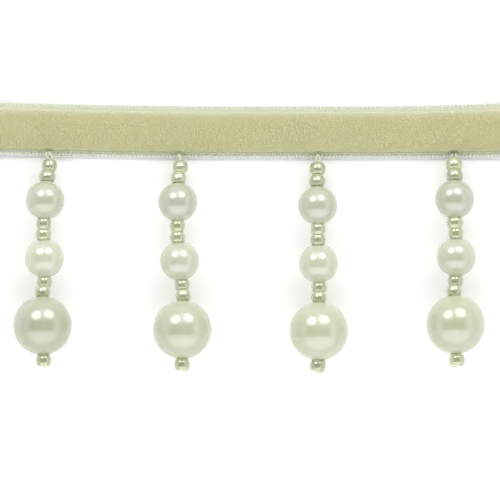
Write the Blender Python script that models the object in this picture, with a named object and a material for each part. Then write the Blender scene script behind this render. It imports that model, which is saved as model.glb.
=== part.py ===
# Beaded fringe: a cut length of velvet ribbon with four strung drops of pearls and seed beads.
#
# It lies flat, face up. +X runs along the ribbon, the drops hang towards -Y and +Z is up. The origin is the
# middle of the ribbon's flat back, which rests on z = 0 with the pearls.

import math
from collections import namedtuple

import bmesh
import bpy
from mathutils import Matrix, Vector

MM = 0.001
INCH = 25.4 * MM
GAP = 0.3 * MM  # kept between neighbouring pieces

# Ribbon, woven in one piece: ground with a velvet band between two selvedges
DROP_PITCH = INCH
RIBBON_LENGTH = 4 * DROP_PITCH
RIBBON_WIDTH = 10.1 * MM
TOP_SELVEDGE = 1.55 * MM
LOWER_SELVEDGE = 0.85 * MM
GROUND_THICKNESS = 1.0 * MM
EDGE_ROUND = 0.15 * MM
PILE_HEIGHT = 0.65 * MM
PILE_CROWN = 0.08 * MM  # how much higher the band is in its middle
TOP_FADE = 0.45 * MM  # the pile rises over this width from the upper selvedge
LOWER_FADE = 0.3 * MM
PILE_SHOULDER = 0.6  # the share of its height that the pile has a little way in from each selvedge
SHOULDER_IN = 0.3
RIBBON_STATIONS = 25
CROWN_STEPS = 4

# How the ribbon lies: bent a little in its plane towards both ends, which lift off the surface.
# Each bend or lift starts at a place along X and grows to its size at the cut end.
Lie = namedtuple("Lie", "start reach power")
LEFT_BEND = Lie(-3.8 * MM, 0.84 * MM, 1.7)
RIGHT_BEND = Lie(24.0 * MM, 0.5 * MM, 1.7)
RIGHT_SPREAD = Lie(24.0 * MM, 0.26 * MM, 1.7)  # the half width grows where the edge is pulled out
LEFT_LIFT = Lie(-36.0 * MM, 0.8 * MM, 2.0)
RIGHT_LIFT = Lie(39.0 * MM, 0.4 * MM, 2.0)
# Beads. A length is from mouth to mouth of the bore, where the next bead is seated.
THREAD_DIAMETER = 0.36 * MM
BORE_DIAMETER = 1.0 * MM
FLAT_DEPTH = 0.08 * MM  # the small flat on which a pearl rests
SEED_GAP = 1.7 * GAP  # between seeds in line, so that tilted ones stay clear of each other
Kind = namedtuple("Kind", "diameter length sides arc_steps")
SEED = Kind(2.9 * MM, 2.08 * MM, 12, 4)
PEARL = Kind(7.4 * MM, 6.86 * MM, 16, 8)
LARGE_PEARL = Kind(11.1 * MM, 10.9 * MM, 20, 10)
BARE_THREAD = Kind(0.0, 0.36 * MM, 0, 0)  # a stretch with no bead on it
SEED_SHOULDER = 0.46  # radius of a seed's flat end, as a share of its own radius
DISH_RADIUS = 1.45 * MM  # the pearls' bores open into a shallow dish
DISH_DEPTH = 0.5 * MM

# The string of one drop, from the ribbon down. height is the thread's height over the surface where it
# leaves the bead.
Strung = namedtuple("Strung", "name kind height")
THREAD_START_HEIGHT = 1.6 * MM
SEEDS_OVER_FIRST_PEARL = 2
STRING = (
    Strung("seed_1", SEED, 2.2 * MM),
    Strung("seed_2", SEED, 3.04 * MM),
    Strung("pearl_1", PEARL, 4.2 * MM),
    Strung("seed_3", SEED, 4.08 * MM),
    Strung("seed_4", SEED, 3.8 * MM),
    Strung("pearl_2", PEARL, 3.44 * MM),
    Strung("seed_5", SEED, 3.9 * MM),
    Strung("seed_6", SEED, 4.7 * MM),
    Strung("large_pearl", LARGE_PEARL, 6.24 * MM),
    Strung("bare_thread", BARE_THREAD, 6.16 * MM),
    Strung("stopper_seed", SEED, 5.4 * MM),
)

# The four drops. at is the place along the ribbon, start is how far below the ribbon's middle the first
# bead's bore opens, top_slack is the thread left bare at each of the first two seeds and slack at each later
# bead, and sway is the thread's sideways place in mm at the first bore and below each bead in turn.
Drop = namedtuple("Drop", "number at start top_slack slack sway")
DROPS = (
    Drop(
        number=1,
        at=-38.0 * MM,
        start=5.25 * MM,
        top_slack=0.16 * MM,
        slack=0.0 * MM,
        sway=(0.4, 0.0, -0.4, -0.8, -0.9, -0.9, -0.6, -0.8, -1.3, -0.8, -0.8, -0.85),
    ),
    Drop(
        number=2,
        at=-13.1 * MM,
        start=5.5 * MM,
        top_slack=0.18 * MM,
        slack=0.06 * MM,
        sway=(0.1, -0.2, -0.5, -0.5, -0.6, -0.5, 0.2, 0.4, 0.6, 0.1, 0.2, 0.4),
    ),
    Drop(
        number=3,
        at=12.8 * MM,
        start=5.7 * MM,
        top_slack=0.38 * MM,
        slack=0.0 * MM,
        sway=(0.0, -0.1, -0.2, 0.1, 0.0, 0.0, 0.2, 0.3, 0.1, 0.22, 0.1, -0.3),
    ),
    Drop(
        number=4,
        at=38.5 * MM,
        start=5.05 * MM,
        top_slack=0.12 * MM,
        slack=0.0 * MM,
        sway=(-0.1, 0.0, 0.1, 0.0, 0.2, 0.4, 0.3, 0.1, -0.2, 0.6, 0.6, 0.4),
    ),
)

# The thread's eye, caught over the ribbon's lower selvedge, and its turn round the last seed
EYE_HALF_WIDTH = 0.5 * MM
EYE_INSET = 0.4 * MM  # how far in from the ribbon's edge it reaches
EYE_STANDOFF = 0.2 * MM  # how far above the first bead's bore it closes
EYE_HEIGHT = GROUND_THICKNESS + GAP + THREAD_DIAMETER
EYE_STEPS = 8
TURN_START = math.radians(90)  # below the last seed, and then up past its middle
TURN_SWEEP = math.radians(130)
TURN_STEPS = 8
SMOOTH_BELOW = math.radians(40)  # edges with a sharper bend than this stay sharp


def clear_scene():
    for old in list(bpy.data.objects):
        bpy.data.objects.remove(old, do_unlink=True)


def make_material(name, color, roughness, metallic=0.0):
    material = bpy.data.materials.new(name)
    material.use_nodes = True
    shader = material.node_tree.nodes["Principled BSDF"]
    shader.inputs["Base Color"].default_value = (*color, 1.0)
    shader.inputs["Roughness"].default_value = roughness
    shader.inputs["Metallic"].default_value = metallic
    material.diffuse_color = (*color, 1.0)
    return material


def add_object(name, data, material):
    data.materials.append(material)
    piece = bpy.data.objects.new(name, data)
    bpy.context.scene.collection.objects.link(piece)
    return piece


def amount(lie, x):
    """How far a bend or lift has grown at x, from its start to the cut end on the same side."""
    end = math.copysign(RIBBON_LENGTH / 2, lie.start)
    share = max(0.0, (x - lie.start) / (end - lie.start))
    return lie.reach * share**lie.power


def bend(x):
    return amount(LEFT_BEND, x) + amount(RIGHT_BEND, x)


def lift(x):
    return amount(LEFT_LIFT, x) + amount(RIGHT_LIFT, x)


def half_width(x):
    return RIBBON_WIDTH / 2 + amount(RIGHT_SPREAD, x)


def lower_edge(x):
    return bend(x) - half_width(x)


def ribbon_section():
    """The ribbon's cross-section as (across, up), from the back's upper corner round over the pile."""
    half = RIBBON_WIDTH / 2
    ground = GROUND_THICKNESS
    pile_top = ground + PILE_HEIGHT
    upper = half - TOP_SELVEDGE
    lower = -half + LOWER_SELVEDGE
    crown_from = upper - TOP_FADE
    crown_to = lower + LOWER_FADE
    points = [(half, 0.0), (half, ground - EDGE_ROUND), (half - EDGE_ROUND, ground)]
    shoulder = ground + PILE_HEIGHT * PILE_SHOULDER
    points += [(upper, ground), (upper - TOP_FADE * SHOULDER_IN, shoulder)]
    for step in range(CROWN_STEPS + 1):
        share = step / CROWN_STEPS
        rise = PILE_CROWN * math.sin(math.pi * share)
        points.append((crown_from + (crown_to - crown_from) * share, pile_top + rise))
    points += [(lower + LOWER_FADE * SHOULDER_IN, shoulder), (lower, ground)]
    points += [(-half + EDGE_ROUND, ground), (-half, ground - EDGE_ROUND), (-half, 0.0)]
    return points


def build_ribbon(material):
    """Sections at even stations, joined along the ribbon and closed by its two cut ends."""
    bm = bmesh.new()
    section = ribbon_section()
    rings = []
    for station in range(RIBBON_STATIONS):
        x = RIBBON_LENGTH * (station / (RIBBON_STATIONS - 1) - 0.5)
        spread = 2 * half_width(x) / RIBBON_WIDTH
        rings.append([bm.verts.new((x, y * spread + bend(x), z + lift(x))) for y, z in section])
    for ring, following in zip(rings, rings[1:]):
        for i in range(len(section)):
            j = (i + 1) % len(section)
            bm.faces.new((ring[i], ring[j], following[j], following[i]))
    bm.faces.new(rings[0])
    bm.faces.new(rings[-1])
    bmesh.ops.recalc_face_normals(bm, faces=bm.faces)
    mesh = bpy.data.meshes.new("velvet_ribbon")
    bm.to_mesh(mesh)
    bm.free()
    mesh.shade_smooth()
    mesh.set_sharp_from_angle(angle=SMOOTH_BELOW)
    add_object("velvet_ribbon", mesh, material)


def seed_profile(kind):
    """Outer line of a seed bead as (radius, along), a soft barrel with a flat at each end."""
    radius = kind.diameter / 2
    half = (kind.length - SEED_GAP) / 2
    shoulder = radius * SEED_SHOULDER
    points = []
    for step in range(kind.arc_steps + 1):
        angle = math.pi * (step / kind.arc_steps - 0.5)
        points.append((shoulder + (radius - shoulder) * math.cos(angle), half * math.sin(angle)))
    return points


def pearl_profile(kind):
    """Outer line of a pearl as (radius, along), its arc ending at the dishes of the bore."""
    radius = kind.diameter / 2
    rim = math.acos(DISH_RADIUS / radius)
    points = []
    for step in range(kind.arc_steps + 1):
        angle = rim * (2 * step / kind.arc_steps - 1)
        points.append((radius * math.cos(angle), radius * math.sin(angle)))
    return points


def lathe(kind):
    """A bored bead about the Z axis, its closed profile spun once round."""
    bore = BORE_DIAMETER / 2
    if kind is SEED:
        outer = seed_profile(kind)
        mouth = outer[-1][1]
    else:
        outer = pearl_profile(kind)
        mouth = outer[-1][1] - DISH_DEPTH
    profile = [(bore, -mouth)] + outer + [(bore, mouth)]
    bm = bmesh.new()
    verts = [bm.verts.new((radius, 0.0, along)) for radius, along in profile]
    edges = [bm.edges.new((a, b)) for a, b in zip(verts, verts[1:] + verts[:1])]
    bmesh.ops.spin(
        bm,
        geom=verts + edges,
        cent=(0, 0, 0),
        axis=(0, 0, 1),
        angle=2 * math.pi,
        steps=kind.sides,
        use_merge=True,
    )
    bmesh.ops.recalc_face_normals(bm, faces=bm.faces)
    return bm


def rest_flat(bm, to_world):
    """Cut the small flat on which a pearl rests, in the bead's own space."""
    to_local = to_world.inverted()
    up = to_local.to_3x3() @ Vector((0, 0, 1))
    floor = to_local @ Vector((to_world.translation.x, to_world.translation.y, 0))
    geometry = bm.verts[:] + bm.edges[:] + bm.faces[:]
    cut = bmesh.ops.bisect_plane(bm, geom=geometry, plane_co=floor, plane_no=up, clear_inner=True)
    rim = [item for item in cut["geom_cut"] if isinstance(item, bmesh.types.BMEdge)]
    bmesh.ops.edgeloop_fill(bm, edges=rim)
    bmesh.ops.recalc_face_normals(bm, faces=bm.faces)


def thread_points(drop):
    """The thread's place at the first bore and below each bead, in the drop's own space."""
    y = -drop.start
    height = THREAD_START_HEIGHT
    points = [Vector((drop.sway[0] * MM, y, height))]
    for i, bead in enumerate(STRING):
        slack = drop.top_slack if i < SEEDS_OVER_FIRST_PEARL else drop.slack
        aside = (drop.sway[i + 1] - drop.sway[i]) * MM
        rise = bead.height - height
        y -= math.sqrt((bead.kind.length + slack) ** 2 - aside**2 - rise**2)
        height = bead.height
        points.append(Vector((drop.sway[i + 1] * MM, y, height)))
    return points


def eye(drop, first_bore):
    """The open loop of thread over the selvedge, from its raised end round to the strand in the beads."""
    closes = first_bore.y + EYE_STANDOFF
    length = lower_edge(drop.at) + EYE_INSET - closes
    points = []
    for step in range(EYE_STEPS + 1):
        angle = 2 * math.pi * (step + 0.5) / (EYE_STEPS + 1)
        away = (1 - math.cos(angle)) / 2
        raised = (GAP + THREAD_DIAMETER) * (1 - step / EYE_STEPS)
        height = EYE_HEIGHT * away + (first_bore.z + raised) * (1 - away)
        x = first_bore.x + EYE_HALF_WIDTH * math.sin(angle)
        points.append(Vector((x, closes + length * away, height)))
    return points


def turn(above_bead, below_bead, kind):
    """The strand that comes back up outside the last seed, round from its lower mouth."""
    middle = (above_bead + below_bead) / 2
    along = (below_bead - above_bead).normalized()
    aside = Vector((1, 0, 0)).cross(along).cross(along).normalized()
    clear = GAP + THREAD_DIAMETER
    out = kind.diameter / 2 + clear
    reach = kind.length / 2 + clear
    points = []
    for step in range(TURN_STEPS + 1):
        angle = TURN_START - TURN_SWEEP * step / TURN_STEPS
        points.append(middle - aside * out * math.cos(angle) + along * reach * math.sin(angle))
    return points


def build_thread(drop, knots, holder, material):
    """One tube for the doubled thread: eye, straight through the bores, and the turn at the bottom."""
    points = eye(drop, knots[0]) + knots + turn(knots[-2], knots[-1], SEED)
    curve = bpy.data.curves.new(f"drop_{drop.number}_thread", "CURVE")
    curve.dimensions = "3D"
    curve.bevel_depth = THREAD_DIAMETER / 2
    curve.bevel_resolution = 0
    curve.use_fill_caps = True
    spline = curve.splines.new("POLY")
    spline.points.add(len(points) - 1)
    for control, point in zip(spline.points, points):
        control.co = (*point, 1.0)
    thread = add_object(curve.name, curve, material)
    thread.parent = holder


def build_bead(drop, bead, above, below, holder, material):
    """A bead on its stretch of thread, its bore along the thread."""
    axis = (below - above).normalized()
    place = (above + below) / 2
    turned = axis.to_track_quat("Z", "X")
    bm = lathe(bead.kind)
    if bead.kind is not SEED:
        place.z = bead.kind.diameter / 2 - FLAT_DEPTH
        to_world = Matrix.Translation(holder.location + place) @ turned.to_matrix().to_4x4()
        rest_flat(bm, to_world)
    name = f"drop_{drop.number}_{bead.name}"
    mesh = bpy.data.meshes.new(name)
    bm.to_mesh(mesh)
    bm.free()
    mesh.shade_smooth()
    mesh.set_sharp_from_angle(angle=SMOOTH_BELOW)
    piece = add_object(name, mesh, material)
    piece.parent = holder
    piece.location = place
    piece.rotation_mode = "QUATERNION"
    piece.rotation_quaternion = turned


def build_drop(drop, looks):
    """A drop's thread and beads, held by an empty where the thread leaves the ribbon."""
    holder = bpy.data.objects.new(f"drop_{drop.number}", None)
    holder.location = (drop.at, 0, 0)
    bpy.context.scene.collection.objects.link(holder)
    knots = thread_points(drop)
    build_thread(drop, knots, holder, looks["thread"])
    for bead, above, below in zip(STRING, knots, knots[1:]):
        if bead.kind is not BARE_THREAD:
            build_bead(drop, bead, above, below, holder, looks[bead.kind])


def main():
    clear_scene()
    build_ribbon(make_material("velvet", (0.54, 0.53, 0.30), 0.9))
    looks = {
        "thread": make_material("sewing_thread", (0.74, 0.74, 0.62), 0.7),
        SEED: make_material("seed_lustre", (0.42, 0.41, 0.24), 0.25, 0.6),
        PEARL: make_material("pearl", (0.74, 0.78, 0.67), 0.2),
        LARGE_PEARL: make_material("large_pearl", (0.69, 0.69, 0.53), 0.2),
    }
    for drop in DROPS:
        build_drop(drop, looks)


main()
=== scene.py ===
import math
import random

import bpy
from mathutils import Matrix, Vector


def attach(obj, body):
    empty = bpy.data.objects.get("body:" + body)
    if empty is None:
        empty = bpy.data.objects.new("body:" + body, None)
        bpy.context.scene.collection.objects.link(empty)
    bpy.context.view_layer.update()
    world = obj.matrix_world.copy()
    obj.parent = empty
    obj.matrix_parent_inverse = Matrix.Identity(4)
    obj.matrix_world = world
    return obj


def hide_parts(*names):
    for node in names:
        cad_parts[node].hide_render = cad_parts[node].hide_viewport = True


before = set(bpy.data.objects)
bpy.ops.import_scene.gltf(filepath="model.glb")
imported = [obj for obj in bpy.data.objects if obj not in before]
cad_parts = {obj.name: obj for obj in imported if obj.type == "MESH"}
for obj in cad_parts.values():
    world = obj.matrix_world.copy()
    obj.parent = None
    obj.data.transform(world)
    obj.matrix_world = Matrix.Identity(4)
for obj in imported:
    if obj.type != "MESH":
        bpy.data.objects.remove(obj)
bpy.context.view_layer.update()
print("frame loaded:", len(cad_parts), "nodes")

mm = 0.001  # sizes are in mm in every table here, unless it says otherwise

# how the ribbon lies, in mm: each bend or lift grows from a place along it to the cut end on that side
ribbonLie = {
    "length": 101.6,
    "width": 10.1,
    "leftBend": (-3.8, 0.84, 1.7),  # from, size at the end, power
    "rightBend": (24.0, 0.5, 1.7),
    "rightSpread": (24.0, 0.26, 1.7),
    "leftLift": (-36.0, 0.8, 2.0),
    "rightLift": (39.0, 0.4, 2.0),
}
ribbonLength, ribbonWidth = ribbonLie["length"] * mm, ribbonLie["width"] * mm


def growth(lie):
    start, size, power = ribbonLie[lie]
    return start, math.copysign(ribbonLie["length"] / 2, start), size, power


def grown(lie, x):  # x and the answer in mm
    start, end, size, power = growth(lie)
    return size * max(0.0, (x - start) / (end - start)) ** power


def lowerEdge(x):
    return grown("leftBend", x) + grown("rightBend", x) - ribbonLie["width"] / 2 - grown("rightSpread", x)


# node helpers, used by the geometry and the material trees alike
def putAll(tree, kind, values=None, **settings):
    node = tree.nodes.new(kind)
    for name, value in settings.items():
        setattr(node, name, value)
    for name, value in (values or {}).items():
        socket = node.inputs[name]
        if isinstance(value, bpy.types.NodeSocket):
            tree.links.new(value, socket)
        else:
            socket.default_value = value
    return node.outputs


def put(tree, kind, values=None, **settings):  # the same, but it gives the first output alone
    return putAll(tree, kind, values, **settings)[0]


def maths(tree, operation, *values):
    return put(tree, "ShaderNodeMath", dict(enumerate(values)), operation=operation)


def plus(tree, first, second):
    return maths(tree, "ADD", first, second)


def minus(tree, first, second):
    return maths(tree, "SUBTRACT", first, second)


def times(tree, first, second):
    return maths(tree, "MULTIPLY", first, second)


def vectorMaths(tree, operation, *values):
    return put(tree, "ShaderNodeVectorMath", dict(enumerate(values)), operation=operation)


def ramp(tree, value, start, end, low=0.0, high=1.0, smooth=False):
    kind = "SMOOTHSTEP" if smooth else "LINEAR"
    values = {"Value": value, 1: start, 2: end, 3: low, 4: high}
    return put(tree, "ShaderNodeMapRange", values, interpolation_type=kind)


def apart(tree, vector):
    return putAll(tree, "ShaderNodeSeparateXYZ", {0: vector})


def together(tree, x, y, z):
    return put(tree, "ShaderNodeCombineXYZ", {0: x, 1: y, 2: z})


def noise(tree, place, size, detail=2.0, roughness=0.5):  # size in mm
    values = {"Vector": place, "Scale": 1 / (size * mm), "Detail": detail, "Roughness": roughness}
    return put(tree, "ShaderNodeTexNoise", values)


socketKinds = {float: "Float", int: "Int", tuple: "Color", Vector: "Vector"}


def startTree(name, kind, inputs, outputs):
    tree = bpy.data.node_groups.new(name, kind)
    for label, value in inputs.items():
        bare = isinstance(value, str)  # a kind of socket in place of its value
        socketKind = "NodeSocket" + (value if bare else socketKinds[type(value)])
        socket = tree.interface.new_socket(label, in_out="INPUT", socket_type=socketKind)
        if not bare:
            socket.default_value = value
    for label, value in outputs.items():
        tree.interface.new_socket(label, in_out="OUTPUT", socket_type="NodeSocket" + value)
    return tree, tree.nodes.new("NodeGroupInput").outputs


# geometry helpers
def startShape(name, inputs, geometryIn=False):
    sockets = {"Geometry": "Geometry"} if geometryIn else {}
    sockets.update(inputs, Material="Material")
    return startTree(name, "GeometryNodeTree", sockets, {"Geometry": "Geometry"})


def realized(tree, geometry):
    return put(tree, "GeometryNodeRealizeInstances", {"Geometry": geometry})


def endShape(tree, geometry, material):
    single = realized(tree, put(tree, "GeometryNodeSetShadeSmooth", {"Geometry": geometry}))
    coated = put(tree, "GeometryNodeSetMaterial", {"Geometry": single, "Material": material})
    putAll(tree, "NodeGroupOutput", {0: coated})


def position(tree):
    return put(tree, "GeometryNodeInputPosition")


def moved(tree, geometry, **places):  # by an Offset, or to a Position
    return put(tree, "GeometryNodeSetPosition", {"Geometry": geometry, **places})


def keep(tree, geometry, name, value, kind="FLOAT"):
    values = {"Geometry": geometry, "Name": name, "Value": value}
    return put(tree, "GeometryNodeStoreNamedAttribute", values, data_type=kind, domain="POINT")


def stored(tree, name, kind="FLOAT"):
    return put(tree, "GeometryNodeInputNamedAttribute", {"Name": name}, data_type=kind)


def chance(tree, low, high, seed, offset=0):
    values = {2: low, 3: high, "Seed": plus(tree, seed, offset)}
    return putAll(tree, "FunctionNodeRandomValue", values, data_type="FLOAT")[1]


def facing(tree, way, spin=(0.0, 0.0, 0.0)):
    values = {"Vector": way, "Rotation": spin}
    return put(tree, "FunctionNodeAlignRotationToVector", values, axis="Z")


def slab(tree, length, height, steps):  # across it runs from -1 to 1, until it is given its place
    values = {"Size": together(tree, length, 2.0, height)}
    values.update(zip(("Vertices X", "Vertices Y", "Vertices Z"), steps))
    return put(tree, "GeometryNodeMeshCube", values)


def bowed(tree, share):  # the steps across a slab come closer together towards its sides
    return maths(tree, "SINE", times(tree, share, math.pi / 2))


def inMetres(sizes, *labels):
    return {label: sizes[label] * mm for label in labels or sizes}


def added(name, data):
    made = bpy.data.objects.new(name, data)
    bpy.context.scene.collection.objects.link(made)
    return made


def makePiece(name, tree, values, source=None):
    holder = added(name + "Start", source or bpy.data.meshes.new(name + "Start"))
    modifier = holder.modifiers.new("nodes", "NODES")
    modifier.node_group = tree
    for item in tree.interface.items_tree:
        if item.in_out == "INPUT" and item.name in values:
            modifier[item.identifier] = values[item.name]
    seen = holder.evaluated_get(bpy.context.evaluated_depsgraph_get())
    mesh = bpy.data.meshes.new_from_object(seen)
    mesh.name = name
    bpy.data.objects.remove(holder, do_unlink=True)
    mesh.calc_loop_triangles()
    print(name, "made:", len(mesh.loop_triangles), "triangles")
    return added(name, mesh)


# material helpers
def blendColour(tree, share, first, second, how="MIX"):
    values = {0: share, 6: first, 7: second}
    return putAll(tree, "ShaderNodeMix", values, data_type="RGBA", blend_type=how)[2]


def toneLevel(tree, given, middle):  # each tuft or bead is a little lighter or darker than the middle
    return plus(tree, middle, times(tree, minus(tree, given["Tone"], 0.5), given["Tone Spread"]))


def toned(tree, colour, level):
    return blendColour(tree, 1.0, colour, together(tree, level, level, level), "MULTIPLY")


def attribute(tree, name, output="Fac"):
    return putAll(tree, "ShaderNodeAttribute", attribute_name=name)[output]


def objectPlace(tree):
    return putAll(tree, "ShaderNodeTexCoord")["Object"]


def startMaterial(name, values):
    material = bpy.data.materials.new(name)
    material.use_nodes = True
    tree = material.node_tree
    shader = tree.nodes["Principled BSDF"]
    for label, value in values.items():
        shader.inputs[label].default_value = value
    return material, tree, shader


def surface(tree, shader, colour, height, relief):
    strength, depth = relief
    values = {"Height": height, "Strength": strength, "Distance": depth * mm}
    tree.links.new(colour, shader.inputs["Base Color"])
    tree.links.new(put(tree, "ShaderNodeBump", values), shader.inputs["Normal"])


# shader groups: yarnMix for the textiles, nacre for the pearls and the lustre of the seeds
yarn = {
    "patchSize": 6.0,
    "patchRange": (0.4, 0.62),  # of the noise, from no patch to a full one
    "fibreSize": 0.16,
    "middleLight": 0.94,
    "fibreLight": 0.12,
}


def makeYarnMix():
    inputs = {
        "Place": Vector((0, 0, 0)),
        "Tone": 0.5,
        "Colour": (0.6, 0.6, 0.5, 1.0),
        "Patch Colour": (0.5, 0.5, 0.4, 1.0),
        "Patches": 0.3,
        "Tone Spread": 0.15,
    }
    group, given = startTree("yarnMix", "ShaderNodeTree", inputs, {"Colour": "Color", "Fibre": "Float"})
    patch = noise(group, given["Place"], yarn["patchSize"], detail=3.0)
    patchShare = times(group, ramp(group, patch, *yarn["patchRange"], smooth=True), given["Patches"])
    patched = blendColour(group, patchShare, given["Colour"], given["Patch Colour"])
    fibre = noise(group, given["Place"], yarn["fibreSize"], roughness=0.7)
    level = toneLevel(group, given, yarn["middleLight"])
    level = plus(group, level, times(group, fibre, yarn["fibreLight"]))
    putAll(group, "NodeGroupOutput", {"Colour": toned(group, patched, level), "Fibre": fibre})
    return group


coatLook = {
    "shift": 0.031,  # no two beads are clouded alike
    "drawn": (1.0, 1.0, 0.35),  # the coat runs along the bore
    "cloudSize": 2.6,
    "cloudRange": (0.38, 0.66),
    "grainSize": 0.35,
    "grainRange": (0.3, 0.7),
    "roughRange": (0.85, 1.2),
    "grainHeight": 0.15,
}


def makeNacre():
    inputs = {
        "Bead Place": Vector((0, 0, 0)),
        "Tone": 0.5,
        "Colour": (0.7, 0.7, 0.6, 1.0),
        "Deep Colour": (0.6, 0.6, 0.5, 1.0),
        "Clouds": 0.4,
        "Tone Spread": 0.1,
        "Roughness": 0.2,
    }
    outputs = {"Colour": "Color", "Roughness": "Float", "Height": "Float"}
    group, given = startTree("nacre", "ShaderNodeTree", inputs, outputs)
    shift = together(group, times(group, given["Tone"], coatLook["shift"]), 0.0, given["Tone"])
    own = vectorMaths(group, "ADD", given["Bead Place"], shift)
    drawn = vectorMaths(group, "MULTIPLY", own, coatLook["drawn"])
    clouds = noise(group, drawn, coatLook["cloudSize"], detail=3.0, roughness=0.55)
    share = times(group, ramp(group, clouds, *coatLook["cloudRange"], smooth=True), given["Clouds"])
    clouded = blendColour(group, share, given["Colour"], given["Deep Colour"])
    coloured = toned(group, clouded, toneLevel(group, given, 1.0))
    grain = noise(group, own, coatLook["grainSize"], detail=3.0, roughness=0.6)
    uneven = ramp(group, grain, *coatLook["grainRange"], *coatLook["roughRange"])
    rough = times(group, given["Roughness"], uneven)
    ripple = plus(group, clouds, times(group, grain, coatLook["grainHeight"]))
    putAll(group, "NodeGroupOutput", {"Colour": coloured, "Roughness": rough, "Height": ripple})
    return group


yarnMix = makeYarnMix()
nacre = makeNacre()


def yarnColours(tree, look, tone=0.5):
    values = {label: look[label] for label in ("Colour", "Patch Colour", "Patches", "Tone Spread")}
    values.update({"Place": objectPlace(tree), "Tone": tone})
    return putAll(tree, "ShaderNodeGroup", values, node_tree=yarnMix)


def banded(tree, colour, bands):
    across = attribute(tree, "acrossRibbon")
    for start, full, bandColour in bands:
        colour = blendColour(tree, ramp(tree, across, start, full, smooth=True), colour, bandColour)
    return colour


# velvet: the colour runs from the upper selvedge, where the ground shows through, to the darker lower side
velvet = {
    "Colour": (0.70, 0.668, 0.387, 1.0),
    "Patch Colour": (0.67, 0.68, 0.40, 1.0),
    "Patches": 0.7,
    "Tone Spread": 0.08,
    "bands": (  # from and full at, in mm across the ribbon, and the colour
        (2.3, 3.9, (0.68, 0.69, 0.487, 1.0)),
        (-2.4, -4.0, (0.67, 0.685, 0.455, 1.0)),
    ),
    "relief": (0.3, 0.05),  # the bump's strength, and its depth in mm
    "shader": {"Roughness": 0.8, "Specular IOR Level": 0.2, "Sheen Weight": 0.15, "Sheen Roughness": 0.4},
}


def makeVelvetMaterial():
    material, tree, shader = startMaterial("velvetPile", velvet["shader"])
    mixed = yarnColours(tree, velvet, attribute(tree, "tuftTone"))
    colour = banded(tree, mixed["Colour"], velvet["bands"])
    surface(tree, shader, colour, mixed["Fibre"], velvet["relief"])
    return material


selvedge = {
    "Colour": (0.62, 0.645, 0.50, 1.0),
    "Patch Colour": (0.59, 0.615, 0.47, 1.0),
    "Patches": 0.6,
    "Tone Spread": 0.0,
    "bands": ((4.0, 4.3, (0.61, 0.63, 0.505, 1.0)), (4.5, 4.95, (0.72, 0.74, 0.655, 1.0))),
    "openRowLitColour": (0.77, 0.80, 0.69, 1.0),  # of the thin row below the pile, partly its own paler weave and partly painted light against the pile's shade
    # the ribs' colour: the selvedge yarn painted lighter, a painted highlight on the raised turns
    "ribHighlightColour": (0.84, 0.86, 0.77, 1.0),
    "outerBand": (-4.5, -4.85, (0.70, 0.72, 0.68, 1.0)),
    "weftPitch": 0.17,  # in mm
    "warpPitch": 0.272,
    "relief": (0.5, 0.02),
    "shader": {"Roughness": 0.7, "Specular IOR Level": 0.3, "Sheen Weight": 0.1},
}


def makeSelvedgeMaterial():
    material, tree, shader = startMaterial("selvedgeYarn", selvedge["shader"])
    mixed = yarnColours(tree, selvedge)
    colour = banded(tree, mixed["Colour"], selvedge["bands"])
    # the thin row below the pile, painted lighter against the pile's shade
    colour = blendColour(tree, attribute(tree, "openRowLight"), colour, selvedge["openRowLitColour"])
    # painted highlight on the ribs, in the share that each row carries
    colour = blendColour(tree, attribute(tree, "ribHighlightShare"), colour, selvedge["ribHighlightColour"])
    colour = banded(tree, colour, [selvedge["outerBand"]])

    def waves(way, pitch):
        return maths(tree, "SINE", times(tree, way, 2 * math.pi / (pitch * mm)))

    x, y = apart(tree, objectPlace(tree))[:2]
    cloth = times(tree, waves(x, selvedge["weftPitch"]), waves(y, selvedge["warpPitch"]))
    surface(tree, shader, colour, plus(tree, cloth, mixed["Fibre"]), selvedge["relief"])
    return material


threadLook = {
    "Colour": (0.84, 0.85, 0.66, 1.0),
    "Patch Colour": (0.76, 0.78, 0.58, 1.0),
    "Patches": 0.5,
    "Tone Spread": 0.0,
    "relief": (0.4, 0.03),
    "shader": {"Roughness": 0.3, "Specular IOR Level": 0.6, "Coat Weight": 0.3, "Coat Roughness": 0.2},
}


def makeThreadMaterial():
    material, tree, shader = startMaterial("sewingThread", threadLook["shader"])
    mixed = yarnColours(tree, threadLook)
    surface(tree, shader, mixed["Colour"], mixed["Fibre"], threadLook["relief"])
    return material


beadLooks = {
    "smallPearl": {
        "Colour": (0.46, 0.485, 0.38, 1.0),
        "Deep Colour": (0.44, 0.475, 0.33, 1.0),
        "Clouds": 0.6,
        "Tone Spread": 0.45,
        "Roughness": 0.2,
        "shader": {"IOR": 2.1, "Coat Weight": 0.3, "Coat Roughness": 0.08, "Subsurface Weight": 0.2},
        "depth": 0.6,
        "relief": (0.015, 0.3),
    },
    "largePearl": {
        "Colour": (0.52, 0.53, 0.39, 1.0),
        "Deep Colour": (0.49, 0.50, 0.33, 1.0),
        "Clouds": 0.7,
        "Tone Spread": 0.4,
        "Roughness": 0.18,
        "shader": {"IOR": 2.1, "Coat Weight": 0.3, "Coat Roughness": 0.06, "Subsurface Weight": 0.2},
        "depth": 0.8,
        "relief": (0.02, 0.3),
    },
    "seedLustre": {
        "Colour": (0.52, 0.54, 0.375, 1.0),
        "Deep Colour": (0.42, 0.45, 0.265, 1.0),
        "Clouds": 0.6,
        "Tone Spread": 0.2,
        "Roughness": 0.1,
        "shader": {
            "Metallic": 0.32, "IOR": 1.9, "Subsurface Weight": 0.6,
            "Coat Weight": 0.4, "Coat Roughness": 0.03,
        },
        "depth": 0.8,
        "relief": (0.03, 0.3),
        "mouth": (0.98, 1.12, (0.80, 0.83, 0.56, 1.0)),  # painted light at the seed's ends, lifting the shade between beads: from and full at, in mm along the bore
    },
}
beadGlow = (1.0, 1.0, 0.8)  # how far red, green and blue light spreads in a bead, as shares of its depth


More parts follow.
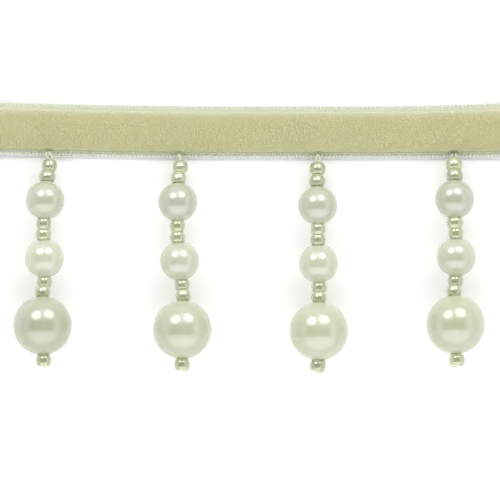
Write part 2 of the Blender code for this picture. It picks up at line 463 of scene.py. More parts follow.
def makeBeadMaterial(name):
    look = beadLooks[name]
    glow = {"Subsurface Radius": beadGlow, "Subsurface Scale": look["depth"] * mm}
    material, tree, shader = startMaterial(name, {**look["shader"], **glow})
    values = {label: look[label] for label in ("Colour", "Deep Colour", "Clouds", "Tone Spread", "Roughness")}
    values["Bead Place"] = attribute(tree, "beadPlace", "Vector")
    values["Tone"] = attribute(tree, "beadTone")
    coat = putAll(tree, "ShaderNodeGroup", values, node_tree=nacre)
    colour = coat["Colour"]
    if "mouth" in look:
        # the seed's ends are painted lighter, painted light in the shade where beads meet
        start, full, paintedEndLight = look["mouth"]
        along = maths(tree, "ABSOLUTE", apart(tree, values["Bead Place"])[2])
        share = ramp(tree, along, start * mm, full * mm, smooth=True)
        colour = blendColour(tree, share, colour, paintedEndLight)
    surface(tree, shader, colour, coat["Height"], look["relief"])
    tree.links.new(coat["Roughness"], shader.inputs["Roughness"])
    return material


velvetMaterial = makeVelvetMaterial()
selvedgeMaterial = makeSelvedgeMaterial()
threadMaterial = makeThreadMaterial()
beadMaterials = {name: makeBeadMaterial(name) for name in beadLooks}
print("materials made:", len(bpy.data.materials))


# the ribbon's lie as a group, which every ribbon piece is laid with
def makeLayRibbon():
    flat = {"Flat Place": Vector((0, 0, 0))}
    tree, given = startTree("layRibbon", "GeometryNodeTree", flat, {"Place": "Vector"})
    x, y, z = apart(tree, given["Flat Place"])

    def growing(lie):
        start, end, size, power = growth(lie)
        share = ramp(tree, x, start * mm, end * mm)
        return times(tree, maths(tree, "POWER", share, power), size * mm)

    bend = plus(tree, growing("leftBend"), growing("rightBend"))
    lift = plus(tree, growing("leftLift"), growing("rightLift"))
    spread = plus(tree, 1.0, maths(tree, "DIVIDE", growing("rightSpread"), ribbonWidth / 2))
    across = plus(tree, times(tree, y, spread), bend)
    putAll(tree, "NodeGroupOutput", {0: together(tree, x, across, plus(tree, z, lift))})
    return tree


layRibbon = makeLayRibbon()


def laid(tree, geometry):
    across = maths(tree, "DIVIDE", apart(tree, position(tree))[1], mm)  # in mm, for the colours
    geometry = keep(tree, geometry, "acrossRibbon", across)
    place = put(tree, "GeometryNodeGroup", {0: position(tree)}, node_tree=layRibbon)
    return moved(tree, geometry, Position=place)


# woven ground with its two selvedges, a closed sheet
ground = {
    "Thickness": 0.56,
    "Edge Round": 0.3,
    "Waver": 0.05,
    "Along Steps": 205,
    "Across Steps": 64,
    "layers": 5,
    "edgeThinning": 0.9,
    "waverSize": 2.5,  # along the edges
    "lowerRow": (-4.08, -3.84),  # the ground thins out below the pile
    "lowerShare": 0.75,
    "openRow": 4.56,  # and in a row of the upper selvedge
    "openHalfWidth": (0.18, 0.36),
    "openShare": 0.74,
}


def makeGroundTree():
    inputs = {
        "Length": ribbonLength,
        "Width": ribbonWidth,
        **inMetres(ground, "Thickness", "Edge Round", "Waver"),
        "Along Steps": ground["Along Steps"],
        "Across Steps": ground["Across Steps"],
    }
    tree, given = startShape("wovenGround", inputs)
    steps = (given["Along Steps"], given["Across Steps"], ground["layers"])
    block = slab(tree, given["Length"], given["Thickness"], steps)
    x, share, z = apart(tree, position(tree))
    half = times(tree, given["Width"], 0.5)
    y = times(tree, bowed(tree, share), half)

    # thinner towards both edges, in the two rows, and wavering at the edges
    inside = minus(tree, half, given["Edge Round"])
    out = maths(tree, "DIVIDE", minus(tree, maths(tree, "ABSOLUTE", y), inside), given["Edge Round"])
    out = put(tree, "ShaderNodeClamp", {"Value": out})
    thinning = times(tree, maths(tree, "POWER", out, 2.0), ground["edgeThinning"])
    thin = maths(tree, "SQRT", minus(tree, 1.0, thinning))
    level = plus(tree, times(tree, z, thin), times(tree, given["Thickness"], 0.5))
    lower = ramp(tree, y, *[edge * mm for edge in ground["lowerRow"]], 1.0, 0.0, smooth=True)
    away = maths(tree, "ABSOLUTE", minus(tree, y, ground["openRow"] * mm))
    row = ramp(tree, away, *[edge * mm for edge in ground["openHalfWidth"]], 1.0, 0.0, smooth=True)
    level = times(tree, level, ramp(tree, lower, 0.0, 1.0, 1.0, ground["lowerShare"]))
    level = times(tree, level, ramp(tree, row, 0.0, 1.0, 1.0, ground["openShare"]))
    # marks the thin row, whose colour is painted lighter against the pile's shade
    block = keep(tree, block, "openRowLight", lower)
    uneven = minus(tree, noise(tree, together(tree, x, 0.0, 0.0), ground["waverSize"]), 0.5)
    y = plus(tree, y, times(tree, times(tree, uneven, given["Waver"]), share))
    formed = moved(tree, block, Position=together(tree, x, y, level))
    endShape(tree, laid(tree, formed), given["Material"])
    return tree


ribbonGround = makePiece("ribbonGround", makeGroundTree(), {"Material": selvedgeMaterial})

# ribs: the weft's turns along both selvedges, each a soft bar across the edge
ribs = {
    "upper": {"Across": 4.56, "Rib Length": 0.64, "Rib Width": 0.48, "Rib Height": 0.54, "Pitch": 0.74},
    "lower": {"Across": -4.46, "Rib Length": 0.84, "Rib Width": 0.54, "Rib Height": 0.62, "Pitch": 0.68},
    "uneven": 0.08,
    "grow": (0.88, 1.08),
    "lean": 0.12,  # either way, in radians
    "blunt": 0.6,  # the power that squares a bar's ends
    "lift": 0.52,  # of a rib's height
}


def makeRibTree():
    inputs = {
        "Length": ribbonLength,
        **inMetres(ribs["lower"]),
        "Highlight Share": 1.0,
        "Uneven": ribs["uneven"] * mm,
        "Seed": 1,
    }
    tree, given = startShape("selvedgeRibs", inputs)
    seed = given["Seed"]
    count = maths(tree, "FLOOR", maths(tree, "DIVIDE", given["Length"], given["Pitch"]))
    run = times(tree, minus(tree, count, 1.0), given["Pitch"])
    start = together(tree, times(tree, run, -0.5), given["Across"], 0.0)
    step = together(tree, given["Pitch"], 0.0, 0.0)
    line = put(tree, "GeometryNodeMeshLine", {"Count": count, "Start Location": start, "Offset": step})
    aside = times(tree, chance(tree, -1.0, 1.0, seed), given["Uneven"])
    across = times(tree, chance(tree, -0.5, 0.5, seed, 11), given["Uneven"])
    line = moved(tree, line, Offset=together(tree, aside, across, 0.0))

    bar = put(tree, "GeometryNodeMeshUVSphere", {"Segments": 10, "Rings": 8, "Radius": 0.5})
    x, y, z = apart(tree, position(tree))
    blunt = maths(tree, "POWER", maths(tree, "ABSOLUTE", y), ribs["blunt"])
    blunt = times(tree, times(tree, maths(tree, "SIGN", y), blunt), 0.5 ** (1 - ribs["blunt"]))
    bar = moved(tree, bar, Position=together(tree, x, blunt, z))
    wide = times(tree, given["Rib Width"], chance(tree, *ribs["grow"], seed, 23))
    values = {"Points": line, "Instance": bar}
    values["Scale"] = together(tree, wide, given["Rib Length"], given["Rib Height"])
    values["Rotation"] = together(tree, 0.0, 0.0, chance(tree, -ribs["lean"], ribs["lean"], seed, 37))
    row = realized(tree, put(tree, "GeometryNodeInstanceOnPoints", values))
    # each rib stores its share of painted highlight
    row = keep(tree, row, "ribHighlightShare", given["Highlight Share"])
    up = together(tree, 0.0, 0.0, times(tree, given["Rib Height"], ribs["lift"]))
    endShape(tree, laid(tree, moved(tree, row, Offset=up)), given["Material"])
    return tree


def makeRibs(name, row, highlightShare, seed):
    values = {"Highlight Share": highlightShare, "Seed": seed, "Material": selvedgeMaterial}
    return makePiece(name, ribTree, {**inMetres(ribs[row]), **values})


ribTree = makeRibTree()
# the upper row carries less painted highlight than the lower
upperRibs = makeRibs("upperRibs", "upper", 0.3, 3)
lowerRibs = makeRibs("lowerRibs", "lower", 1.0, 5)

# the strings, in mm: a bead's length is from mouth to mouth of its bore, and each height is the thread's
# where it leaves that bead
beadKinds = {
    "seed": {"radius": 1.45, "length": 2.08},
    "smallPearl": {"radius": 3.7, "length": 6.86},
    "largePearl": {"radius": 5.55, "length": 10.9},
    "bareThread": {"radius": 0.0, "length": 0.36},
}
stringing = (
    ("seed_1", "seed", 2.2),
    ("seed_2", "seed", 3.04),
    ("pearl_1", "smallPearl", 4.2),
    ("seed_3", "seed", 4.08),
    ("seed_4", "seed", 3.8),
    ("pearl_2", "smallPearl", 3.44),
    ("seed_5", "seed", 3.9),
    ("seed_6", "seed", 4.7),
    ("large_pearl", "largePearl", 6.24),
    ("bare_thread", "bareThread", 6.16),
    ("stopper_seed", "seed", 5.4),
)
pearls = ("pearl_1", "pearl_2", "large_pearl")
drops = {
    1: {
        "at": -38.0,
        "start": 5.25,
        "topSlack": 0.16,
        "slack": 0.0,
        "sway": (0.4, 0.0, -0.4, -0.8, -0.9, -0.9, -0.6, -0.8, -1.3, -0.8, -0.8, -0.85),
        "turnFrom": -80,
        "turnTo": -70,
        "eyeAside": -0.5,
        "eyeSpread": (0.28, 0.5),
        "pits": (-0.4, 0.0, 0.4),
        "stopperUp": 0.19,
        "pearlTones": (0.62, 1.02, 0.18),
    },
    2: {
        "at": -13.1,
        "start": 5.5,
        "topSlack": 0.18,
        "slack": 0.06,
        "sway": (0.1, -0.2, -0.5, -0.5, -0.6, -0.5, 0.2, 0.4, 0.6, 0.1, 0.2, 0.4),
        "turnFrom": -36,
        "turnTo": -28,
        "eyeAside": -0.4,
        "eyeSpread": (0.05, 0.14),
        "pits": (-0.15, 0.15),
        "stopperUp": 0.3,
        "pearlTones": (0.52, 0.88, 0.46),
    },
    3: {
        "at": 12.8,
        "start": 5.7,
        "topSlack": 0.38,
        "slack": 0.0,
        "sway": (0.0, -0.1, -0.2, 0.1, 0.0, 0.0, 0.2, 0.3, 0.1, 0.22, 0.1, -0.3),
        "turnFrom": -34,
        "turnTo": -26,
        "eyeAside": 0.0,
        "eyeSpread": (0.08, 0.38),
        "pits": (0.05,),
        "stopperUp": 0.26,
        "pearlTones": (0.58, 0.94, 0.6),
    },
    4: {
        "at": 38.5,
        "start": 5.05,
        "topSlack": 0.12,
        "slack": 0.0,
        "sway": (-0.1, 0.0, 0.1, 0.0, 0.2, 0.4, 0.3, 0.1, -0.2, 0.6, 0.6, 0.4),
        "turnFrom": 214,
        "turnTo": 206,
        "eyeAside": 0.1,
        "eyeSpread": (0.3, 0.6),
        "pits": (-0.45, 0.0, 0.45),
        "stopperUp": 0.08,
        "pearlTones": (0.48, 0.8, 0.48),
    },
}
boreHeight = 1.6  # of the thread at the first bead
restFlat = 0.08  # the small flat under each pearl
topSeeds = 2  # above the first pearl, where the beads have a slack of their own


def threadKnots(drop):
    y, height = -drop["start"], boreHeight
    knots = [Vector((drop["at"] + drop["sway"][0], y, height))]
    for i, (name, kind, nextHeight) in enumerate(stringing):
        slack = drop["topSlack"] if i < topSeeds else drop["slack"]
        aside = drop["sway"][i + 1] - drop["sway"][i]
        y -= math.sqrt((beadKinds[kind]["length"] + slack) ** 2 - aside**2 - (nextHeight - height) ** 2)
        height = nextHeight
        knots.append(Vector((drop["at"] + drop["sway"][i + 1], y, height)))
    closer = (knots[-2] - knots[-1]).normalized() * drop["stopperUp"]  # the last seed touches the pearl
    return knots[:-2] + [knots[-2] + closer, knots[-1] + closer]


# pile: a soft bed, and tufts that lean towards the drops, made as two pieces
pile = {
    "Lower Side": -3.88,
    "Upper Side": 3.86,
    "Foot": 0.4,
    "Bed Top": 1.42,
    "Crown": 0.08,
    "Upper Fade": 0.5,
    "upperShare": 0.66,  # of the pile's height where it ends at the upper selvedge
    "Lower Fade": 0.22,
    "bedSteps": (240, 40, 3),
    "bedTone": 0.3,
    "thinnest": 0.02,
    "tuftsPerSquareMm": 108.0,
    "Tuft Length": 0.2,
    "Tuft Width": 0.11,
    "grow": (0.75, 1.15),
    "lean": 2.0,
    "stray": 0.2,
    "brushSize": 9.0,
    "brushRange": (0.3, 0.7),
    "brushLean": (0.92, 1.08),
    "steepest": 0.15,  # tufts grow where the bed's normal points up by more than this
    "pitIn": 0.08,  # the pits' middles from the pile's lower side
    "pitSize": (0.08, 0.42),
    "pitDepth": 0.55,
}


def makeBedTree():
    sizes = inMetres(pile, "Lower Side", "Upper Side", "Foot", "Bed Top", "Crown", "Upper Fade", "Lower Fade")
    inputs = {
        "Length": ribbonLength,
        **sizes,
        "Upper Share": pile["upperShare"],
        "Pit Depth": pile["pitDepth"],
    }
    tree, given = startShape("pileBed", inputs, geometryIn=True)
    block = slab(tree, given["Length"], 1.0, pile["bedSteps"])
    x, share, up = apart(tree, position(tree))
    width = minus(tree, given["Upper Side"], given["Lower Side"])
    across = times(tree, plus(tree, bowed(tree, share), 1.0), 0.5)  # 0 at the lower side, 1 at the upper
    fromLower = times(tree, across, width)
    fromUpper = minus(tree, width, fromLower)
    y = plus(tree, given["Lower Side"], fromLower)

    # a quarter round at the lower side, a slow fade to the upper, and a low crown
    near = put(tree, "ShaderNodeClamp", {"Value": maths(tree, "DIVIDE", fromLower, given["Lower Fade"])})
    short = minus(tree, 1.0, near)
    shoulder = maths(tree, "SQRT", minus(tree, 1.0, times(tree, short, short)))
    fading = maths(tree, "DIVIDE", fromUpper, times(tree, given["Upper Fade"], -1.0))
    fading = ramp(tree, maths(tree, "EXPONENT", fading), 0.0, 1.0, 1.0, given["Upper Share"])
    full = times(tree, shoulder, fading)
    arch = maths(tree, "SINE", times(tree, across, math.pi))
    height = minus(tree, given["Bed Top"], given["Foot"])
    top = plus(tree, times(tree, height, full), times(tree, arch, given["Crown"]))

    # each stitch draws the pile down in a small pit
    values = {0: given["Geometry"], "Sample Position": together(tree, x, y, 0.0)}
    away = putAll(tree, "GeometryNodeProximity", values, target_element="POINTS")["Distance"]
    inner, outer = [size * mm for size in pile["pitSize"]]
    pit = times(tree, ramp(tree, away, inner, outer, 1.0, 0.0, smooth=True), given["Pit Depth"])
    top = plus(tree, times(tree, top, minus(tree, 1.0, pit)), pile["thinnest"] * mm)
    level = plus(tree, given["Foot"], times(tree, plus(tree, up, 0.5), top))
    bed = moved(tree, block, Position=together(tree, x, y, level))
    bed = keep(tree, bed, "tuftTone", pile["bedTone"])
    endShape(tree, laid(tree, bed), given["Material"])
    return tree


def makeTuftTree():
    inputs = {
        "From": -ribbonLength / 2,
        "To": 0.0,
        "Density": pile["tuftsPerSquareMm"] / mm**2,
        **inMetres(pile, "Tuft Length", "Tuft Width"),
        "Lean": pile["lean"],
        "Stray": pile["stray"],
        "Seed": 7,
    }
    tree, given = startShape("velvetTufts", inputs, geometryIn=True)
    seed = given["Seed"]
    x = apart(tree, position(tree))[0]
    past, before = maths(tree, "GREATER_THAN", x, given["From"]), maths(tree, "LESS_THAN", x, given["To"])
    up = apart(tree, put(tree, "GeometryNodeInputNormal"))[2]
    chosen = times(tree, times(tree, past, before), maths(tree, "GREATER_THAN", up, pile["steepest"]))
    values = {"Mesh": given["Geometry"], "Selection": chosen, "Density": given["Density"], "Seed": seed}
    roots = put(tree, "GeometryNodeDistributePointsOnFaces", values)
    roots = keep(tree, roots, "tuftTone", chance(tree, 0.0, 1.0, seed, 3))

    brushed = noise(tree, position(tree), pile["brushSize"], detail=1.0)
    down = times(tree, given["Lean"], ramp(tree, brushed, *pile["brushRange"], *pile["brushLean"]))
    ahead, aside = [times(tree, chance(tree, -1.0, 1.0, seed, more), given["Stray"]) for more in (13, 17)]
    turned = facing(tree, together(tree, aside, minus(tree, ahead, down), 1.0))
    values = {
        "Vertices": 3,
        "Side Segments": 1,
        "Radius Top": 0.0,
        "Radius Bottom": times(tree, given["Tuft Width"], 0.5),
        "Depth": given["Tuft Length"],
    }
    tuft = put(tree, "GeometryNodeMeshCone", values, fill_type="NGON")
    size = together(tree, 1.0, 1.0, chance(tree, *pile["grow"], seed, 19))
    values = {"Points": roots, "Instance": tuft, "Rotation": turned, "Scale": size}
    endShape(tree, put(tree, "GeometryNodeInstanceOnPoints", values), given["Material"])
    return tree


def stitchSpots():
    spots, across = [], pile["Lower Side"] + pile["pitIn"]
    for drop in drops.values():
        middle = drop["at"] + drop["sway"][0] + drop["eyeAside"]
        spots += [((middle + aside) * mm, across * mm, 0) for aside in drop["pits"]]
    mesh = bpy.data.meshes.new("stitchSpots")
    mesh.from_pydata(spots, [], [])
    return mesh


def makeTufts(name, start, end, seed):
    values = {"From": start, "To": end, "Seed": seed, "Material": velvetMaterial}
    return makePiece(name, tuftTree, values, pileBed.data.copy())


pileBed = makePiece("pileBed", makeBedTree(), {"Material": velvetMaterial}, stitchSpots())
tuftTree = makeTuftTree()
leftTufts = makeTufts("leftTufts", -ribbonLength / 2, 0.0, 7)
rightTufts = makeTufts("rightTufts", 0.0, ribbonLength / 2, 29)

knotsOf = {number: threadKnots(drop) for number, drop in drops.items()}

# bead shapes: an arc from mouth to mouth, a dish at each mouth and the bore
beadForms = {
    "seed": {
        "Shoulder": 0.84, "Half Length": 1.14, "Dish": 0.1, "Bore": 0.4,
        "mouthAngle": 90.0, "Sides": 40, "Rows": 20,
    },
    "smallPearl": {
        "Shoulder": 0.0, "Half Length": 3.7, "Dish": 0.14, "Bore": 0.5,
        "mouthAngle": 74.3, "Sides": 72, "Rows": 36,
    },
    "largePearl": {
        "Shoulder": 0.0, "Half Length": 5.55, "Dish": 0.08, "Bore": 0.5,
        "mouthAngle": 80.7, "Sides": 96, "Rows": 48,
    },
}
boreRows = 4


def beadSizes(kind, seed):
    form = beadForms[kind]
    sizes = inMetres(form, "Shoulder", "Half Length", "Dish", "Bore")
    sizes["Radius"] = beadKinds[kind]["radius"] * mm
    sizes["Mouth Angle"] = math.radians(form["mouthAngle"])
    return {**sizes, "Sides": form["Sides"], "Rows": form["Rows"], "Seed": seed}


def makeBeadTree():
    tree, given = startShape("strungBeads", beadSizes("smallPearl", 1), geometryIn=True)
    rows = plus(tree, given["Rows"], float(boreRows))
    values = {"Size X": 1.0, "Size Y": 1.0}
    values.update({"Vertices X": plus(tree, given["Sides"], 1.0), "Vertices Y": plus(tree, rows, 1.0)})
    grid = put(tree, "GeometryNodeMeshGrid", values)
    u, v = apart(tree, position(tree))[:2]
    around = times(tree, plus(tree, u, 0.5), 2 * math.pi)
    row = maths(tree, "ROUND", times(tree, plus(tree, v, 0.5), rows))
    row = maths(tree, "MODULO", row, rows)  # the last row closes on the first

    # the first rows follow the arc, the others the bore
    onArc = maths(tree, "LESS_THAN", row, plus(tree, given["Rows"], 0.5))
    arcShare = minus(tree, times(tree, maths(tree, "DIVIDE", row, given["Rows"]), 2.0), 1.0)
    tilt = times(tree, arcShare, given["Mouth Angle"])
    belly = minus(tree, given["Radius"], given["Shoulder"])
    arcOut = plus(tree, given["Shoulder"], times(tree, belly, maths(tree, "COSINE", tilt)))
    arcUp = times(tree, given["Half Length"], maths(tree, "SINE", tilt))
    mouth = times(tree, given["Half Length"], maths(tree, "SINE", given["Mouth Angle"]))
    mouth = minus(tree, mouth, given["Dish"])
    boreRow = minus(tree, row, given["Rows"])
    boreUp = times(tree, mouth, ramp(tree, boreRow, 1.0, boreRows - 1.0, 1.0, -1.0))
    out = put(tree, "ShaderNodeMix", {0: onArc, 2: given["Bore"], 3: arcOut}, data_type="FLOAT")
    along = put(tree, "ShaderNodeMix", {0: onArc, 2: boreUp, 3: arcUp}, data_type="FLOAT")
    x = times(tree, out, maths(tree, "COSINE", around))
    y = times(tree, out, maths(tree, "SINE", around))
    bead = moved(tree, grid, Position=together(tree, x, y, along))
    bead = put(tree, "GeometryNodeMergeByDistance", {"Geometry": bead, "Distance": 0.001 * mm})
    bead = keep(tree, bead, "beadPlace", position(tree), "FLOAT_VECTOR")

    spin = together(tree, 0.0, 0.0, chance(tree, 0.0, 2 * math.pi, given["Seed"], 5))
    turned = facing(tree, stored(tree, "threadLine", "FLOAT_VECTOR"), spin)
    girth = stored(tree, "beadGirth")
    values = {"Points": given["Geometry"], "Instance": bead, "Rotation": turned}
    values["Scale"] = together(tree, girth, girth, 1.0)
    strung = realized(tree, put(tree, "GeometryNodeInstanceOnPoints", values))
    x, y, z = apart(tree, position(tree))
    rest = together(tree, x, y, maths(tree, "MAXIMUM", z, 0.0))  # a pearl's weight rests on its small flat
    endShape(tree, moved(tree, strung, Position=rest), given["Material"])
    return tree


# seeds that lean back on their thread, as a slope
beadNods = {"seed_1": 0.16, "seed_2": 0.12, "seed_3": 0.03, "seed_4": 0.12, "stopper_seed": 0.4}


def beadLine(name, above, below):
    return ((below - above).normalized() + Vector((0, 0, beadNods.get(name, 0.0)))).normalized()


# the wider seeds, as shares of the usual width
wideSeeds = {
    "drop_1_seed_2": 1.07,
    "drop_1_seed_4": 1.06,
    "drop_3_seed_1": 1.06,
    "drop_3_seed_2": 1.07,
    "drop_4_seed_1": 1.1,
    "drop_4_seed_2": 1.1,
    "drop_4_seed_3": 1.1,
}


def beadSpots(kind, seed):
    names, spots, lines, tones = [], [], [], []
    draw = random.Random(seed)
    for number, knots in knotsOf.items():
        toneOf = dict(zip(pearls, drops[number]["pearlTones"]))
        for (name, beadKind, height), above, below in zip(stringing, knots, knots[1:]):
            if beadKind == kind:
                spot = (above + below) / 2
                if name in pearls:
                    spot.z = beadKinds[kind]["radius"] - restFlat
                names.append(f"drop_{number}_{name}")
                spots.append(spot * mm)
                lines.append(beadLine(name, above, below))
                tones.append(toneOf[name] if name in pearls else draw.random())
    mesh = bpy.data.meshes.new(kind + "Spots")
    mesh.from_pydata(spots, [], [])
    for item, line in zip(mesh.attributes.new("threadLine", "FLOAT_VECTOR", "POINT").data, lines):
        item.vector = line
    girths = [wideSeeds.get(name, 1.0) for name in names]
    for label, shares in (("beadTone", tones), ("beadGirth", girths)):
        for item, share in zip(mesh.attributes.new(label, "FLOAT", "POINT").data, shares):
            item.value = share
    return names, mesh


def makeBeads(pieceName, kind, material, seed):
    names, spots = beadSpots(kind, seed)
    return makePiece(pieceName, beadTree, {**beadSizes(kind, seed), "Material": material}, spots), names


beadTree = makeBeadTree()
seedBeads, seedNodes = makeBeads("seedBeads", "seed", beadMaterials["seedLustre"], 41)
smallPearls, smallPearlNodes = makeBeads("smallPearls", "smallPearl", beadMaterials["smallPearl"], 43)
largePearls, largePearlNodes = makeBeads("largePearls", "largePearl", beadMaterials["largePearl"], 47)

# thread: caught over the lower selvedge in an eye, down through the bores, round the last seed and back up
thread = {
    "Ply Radius": 0.1,
    "Ply Offset": 0.085,
    "Step": 0.11,
    "turnsPerMm": 0.9,
    "pairOffset": 0.19,  # of the two strands from the middle of the bore
    "eyeTop": 0.7,  # how far in from the ribbon's edge it comes out of the ground
    "eyeLift": 0.19,  # one strand crosses over the other
    "overSeed": 0.19,  # strand's middle from the seed's side
    "turnReach": 80,  # degrees either way round the last seed
    "turnStep": 20,
    "turnStart": (-0.06, 0.3),  # how far past the seed's end and out to the side the turn begins
    "turnEnd": (0.12, 0.45),
}


def makeThreadTree():
    sizes = inMetres(thread, "Ply Radius", "Ply Offset", "Step")
    inputs = {**sizes, "Turns": thread["turnsPerMm"] / mm}
    tree, given = startShape("twistedThread", inputs, geometryIn=True)
    values = {"Curve": given["Geometry"], "Length": given["Step"]}
    path = put(tree, "GeometryNodeResampleCurve", values, mode="LENGTH")
    run = putAll(tree, "GeometryNodeSplineParameter")["Length"]
    tilt = times(tree, times(tree, run, given["Turns"]), 2 * math.pi)
    path = put(tree, "GeometryNodeSetCurveTilt", {"Curve": path, "Tilt": tilt})
    ring = put(tree, "GeometryNodeCurvePrimitiveCircle", {"Resolution": 6, "Radius": given["Ply Radius"]})
    plies = tree.nodes.new("GeometryNodeJoinGeometry")
    for side in (-1.0, 1.0):
        off = together(tree, times(tree, given["Ply Offset"], side), 0.0, 0.0)
        ply = put(tree, "GeometryNodeTransform", {"Geometry": ring, "Translation": off})
        tree.links.new(ply, plies.inputs[0])
    values = {"Curve": path, "Profile Curve": plies.outputs[0], "Fill Caps": True}
    endShape(tree, put(tree, "GeometryNodeCurveToMesh", values), given["Material"])
    return tree


def eyeStrand(drop, knots, side):
    mouth, top = knots[0], lowerEdge(drop["at"]) + thread["eyeTop"]
    near, wide = drop["eyeSpread"]

    def beside(share, out, y, z):  # share of the way from the eye's middle to the mouth
        return Vector((mouth.x + drop["eyeAside"] * (1 - share) + out * side, y, z))

    # out of the ground, over the selvedge, widest halfway down and closing at the first bead's mouth
    return [
        beside(0.0, 0.5 * near, top + 0.5, 0.35),
        beside(0.0, near, top + 0.18, 1.0),
        beside(0.15, (near + wide) / 2, top - 0.14, 1.22),
        beside(0.5, wide, (top + mouth.y) / 2 + 0.06, 1.28),
        beside(0.85, 0.62 * wide, mouth.y + 0.34, 1.45),
        beside(1.0, -0.06, mouth.y + 0.1, mouth.z + thread["eyeLift"] * side),
        mouth + Vector((-thread["pairOffset"] * side, -0.12, 0.0)),
    ]


def lastSeed(knots):  # its middle, and the way that its bore runs
    return (knots[-2] + knots[-1]) / 2, beadLine("stopper_seed", knots[-2], knots[-1])


def seedTurn(knots, start, end):
    middle, along = lastSeed(knots)
    right = along.cross(Vector((0, 0, 1))).normalized() * -1
    front = right.cross(along).normalized()
    if front.z < 0:
        front.negate()

    def out(share):
        angle = math.radians(start + (end - start) * share)
        return right * math.cos(angle) + front * math.sin(angle)

    form, clear, most = beadForms["seed"], thread["overSeed"], thread["turnReach"]
    belly = beadKinds["seed"]["radius"] - form["Shoulder"] + clear
    reach = form["Half Length"] + clear
    past, beside = thread["turnStart"]
    points = [middle + along * (reach + past) + out(0) * beside]
    for degrees in range(most, -most - 1, -thread["turnStep"]):
        bend, away = math.radians(degrees), out((most - degrees) / (2 * most))
        spot = middle + away * (form["Shoulder"] + belly * math.cos(bend))
        points.append(spot + along * (reach * math.sin(bend)))
    past, beside = thread["turnEnd"]
    points.append(middle - along * (reach + past) + out(1) * beside)
    return points


def threadPath(drop, knots):
    aside = Vector((thread["pairOffset"], 0, 0))
    middle, along = lastSeed(knots)
    down = [spot - aside for spot in knots[1:-2] + [middle - along, middle + along]]
    back = [spot + aside for spot in reversed(knots[1:-2])]
    turn = seedTurn(knots, drop["turnFrom"], drop["turnTo"])
    return eyeStrand(drop, knots, 1) + down + turn + back + eyeStrand(drop, knots, -1)[::-1]


def makeCurve(name, paths):
    curve = bpy.data.curves.new(name, "CURVE")
    curve.dimensions = "3D"
    curve.resolution_u = 24
    for path in paths:
        spline = curve.splines.new("BEZIER")
        spline.bezier_points.add(len(path) - 1)
        for control, spot in zip(spline.bezier_points, path):
            control.co = spot * mm
            control.handle_left_type = control.handle_right_type = "AUTO"
    return curve


threadTree = makeThreadTree()
dropCurve = makeCurve("dropPaths", [threadPath(drop, knotsOf[number]) for number, drop in drops.items()])
dropThreads = makePiece("dropThreads", threadTree, {"Material": threadMaterial}, dropCurve)

# a fine stitch that runs along the lower selvedge beside the first drop
edgeStitch = {
    "start": -37.2,
    "end": -33.4,
    "spans": 8,
    "in": 0.1,
    "height": 0.66,
    "dives": ((0, 0.25, -0.35), (0, 0.2, -0.35)),  # of its two ends, into the ground
    "Ply Radius": 0.05,
    "Ply Offset": 0.045,
    "Step": 0.08,
}


def stitchPath():
    spots, spans = [], edgeStitch["spans"]
    for span in range(spans + 1):
        x = edgeStitch["start"] + (edgeStitch["end"] - edgeStitch["start"]) * span / spans
        spots.append(Vector((x, lowerEdge(x) + edgeStitch["in"], edgeStitch["height"])))
    for end, dive in zip((0, -1), edgeStitch["dives"]):
        spots[end] += Vector(dive)
    return spots


stitchSizes = {**inMetres(edgeStitch, "Ply Radius", "Ply Offset", "Step"), "Material": threadMaterial}
edgeThread = makePiece("edgeThread", threadTree, stitchSizes, makeCurve("stitchPath", [stitchPath()]))

# slots, and the solids that each piece stands for
threadNodes = [f"drop_{number}_thread" for number in drops]
roles = (
    (ribbonGround, "velvet_ribbon", ["velvet_ribbon"]),
    (upperRibs, "velvet_ribbon", []),
    (lowerRibs, "velvet_ribbon", []),
    (pileBed, "velvet_ribbon", []),
    (leftTufts, "velvet_ribbon", []),
    (rightTufts, "velvet_ribbon", []),
    (seedBeads, "seed_bead", seedNodes),
    (smallPearls, "small_pearl", smallPearlNodes),
    (largePearls, "large_pearl", largePearlNodes),
    (dropThreads, "sewing_thread", threadNodes),
    (edgeThread, "sewing_thread", []),
)
for piece, slotName, nodes in roles:
    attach(piece, "root")
    if nodes:
        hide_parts(*nodes)
print("pieces placed:", len(roles))

# studio: white floor, even light with a dark gap overhead, and two softboxes above the ribbon's far side
studio = {
    "floorSize": 3.0,  # in metres
    "floorLevel": -0.03,  # in mm, a hair under the beads
    "floorColour": (0.93, 0.93, 0.93, 1.0),
    "roomLight": 1.2,
    "nearFill": 0.7,  # the room is brighter on the drops' side
    "nearRange": (-0.2, -0.8),
    "farFill": 0.2,
    "farRange": (0.5, 0.9),
    "horizonShare": 0.5,
    "horizonRange": (0.0, 0.5),
    "gapLight": 0.1,
    "gapMiddle": -0.07,
    "gapAcross": (0.6, 0.95),  # where the gap fades out to both sides, as parts of a direction
    "gapNear": (-0.36, -0.3),
    "gapFar": (0.24, 0.6),
    "softboxes": (  # direction, size and radiance
        ((-0.44, 0.60, 0.67), 0.38, 3.0),
        ((0.35, 0.69, 0.63), 0.4, 2.8),
    ),
    "softboxDistance": 0.6,
}


def makeFloor():
    side, level = studio["floorSize"] / 2, studio["floorLevel"] * mm
    corners = [(-side, -side, level), (side, -side, level), (side, side, level), (-side, side, level)]
    mesh = bpy.data.meshes.new("floor")
    mesh.from_pydata(corners, [], [(0, 1, 2, 3)])
    floor = added("floor", mesh)
    looks = {"Base Color": studio["floorColour"], "Roughness": 0.95, "Specular IOR Level": 0.1}
    mesh.materials.append(startMaterial("floorPaper", looks)[0])


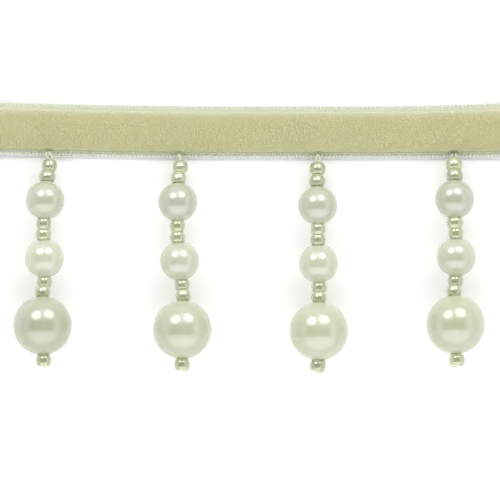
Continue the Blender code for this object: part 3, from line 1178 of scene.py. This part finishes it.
def makeWorld():
    world = bpy.data.worlds.new("studioRoom")
    bpy.context.scene.world = world
    world.use_nodes = True
    tree = world.node_tree
    x, y, z = apart(tree, putAll(tree, "ShaderNodeTexCoord")["Generated"])
    aside = maths(tree, "ABSOLUTE", minus(tree, x, studio["gapMiddle"]))
    sides = ramp(tree, aside, *studio["gapAcross"], 1.0, 0.0, smooth=True)
    near = ramp(tree, y, *studio["gapNear"], smooth=True)
    far = ramp(tree, y, *studio["gapFar"], 1.0, 0.0, smooth=True)
    above = maths(tree, "GREATER_THAN", z, 0.0)
    gap = times(tree, times(tree, sides, near), times(tree, far, above))
    nearFill = ramp(tree, y, *studio["nearRange"], 1.0, 1.0 + studio["nearFill"], smooth=True)
    farFill = ramp(tree, y, *studio["farRange"], 1.0, 1.0 + studio["farFill"], smooth=True)
    high = ramp(tree, z, *studio["horizonRange"], studio["horizonShare"], 1.0, smooth=True)
    room = times(tree, times(tree, times(tree, nearFill, farFill), high), studio["roomLight"])
    background = tree.nodes["Background"]
    background.inputs["Color"].default_value = (1.0, 1.0, 1.0, 1.0)
    light = ramp(tree, gap, 0.0, 1.0, room, studio["gapLight"])
    tree.links.new(light, background.inputs["Strength"])


def makeSoftboxes():
    shadowCasters = bpy.data.collections.new("ribbonPieces")  # the beads throw no shadow of the softboxes
    for piece in (ribbonGround, upperRibs, lowerRibs, pileBed, leftTufts, rightTufts, edgeThread):
        shadowCasters.objects.link(piece)
    for i, (direction, size, radiance) in enumerate(studio["softboxes"]):
        light = bpy.data.lights.new(f"softbox{i + 1}", "AREA")
        light.shape = "DISK"
        light.size = size
        light.energy = radiance * (size / 2 * math.pi) ** 2
        way = Vector(direction).normalized()
        lamp = added(light.name, light)
        lamp.location = way * studio["softboxDistance"]
        lamp.rotation_euler = way.to_track_quat("Z", "Y").to_euler()
        lamp.visible_camera = False
        lamp.light_linking.blocker_collection = shadowCasters


# in mm: the width seen on the floor, the camera's height, and how far down the middle is
view = {"width": 94.34, "distance": 2400.0, "middle": -22.164}


def makeCamera():
    camera = bpy.data.cameras.new("overhead")
    camera.sensor_width = 36.0
    camera.lens = camera.sensor_width * view["distance"] / view["width"]
    camera.clip_start, camera.clip_end = 0.1, 10.0
    stand = added("overhead", camera)
    stand.location = (0, view["middle"] * mm, view["distance"] * mm)
    bpy.context.scene.camera = stand


makeFloor()
makeWorld()
makeSoftboxes()
makeCamera()
bpy.context.scene.view_settings.view_transform = "Standard"
print("studio made")
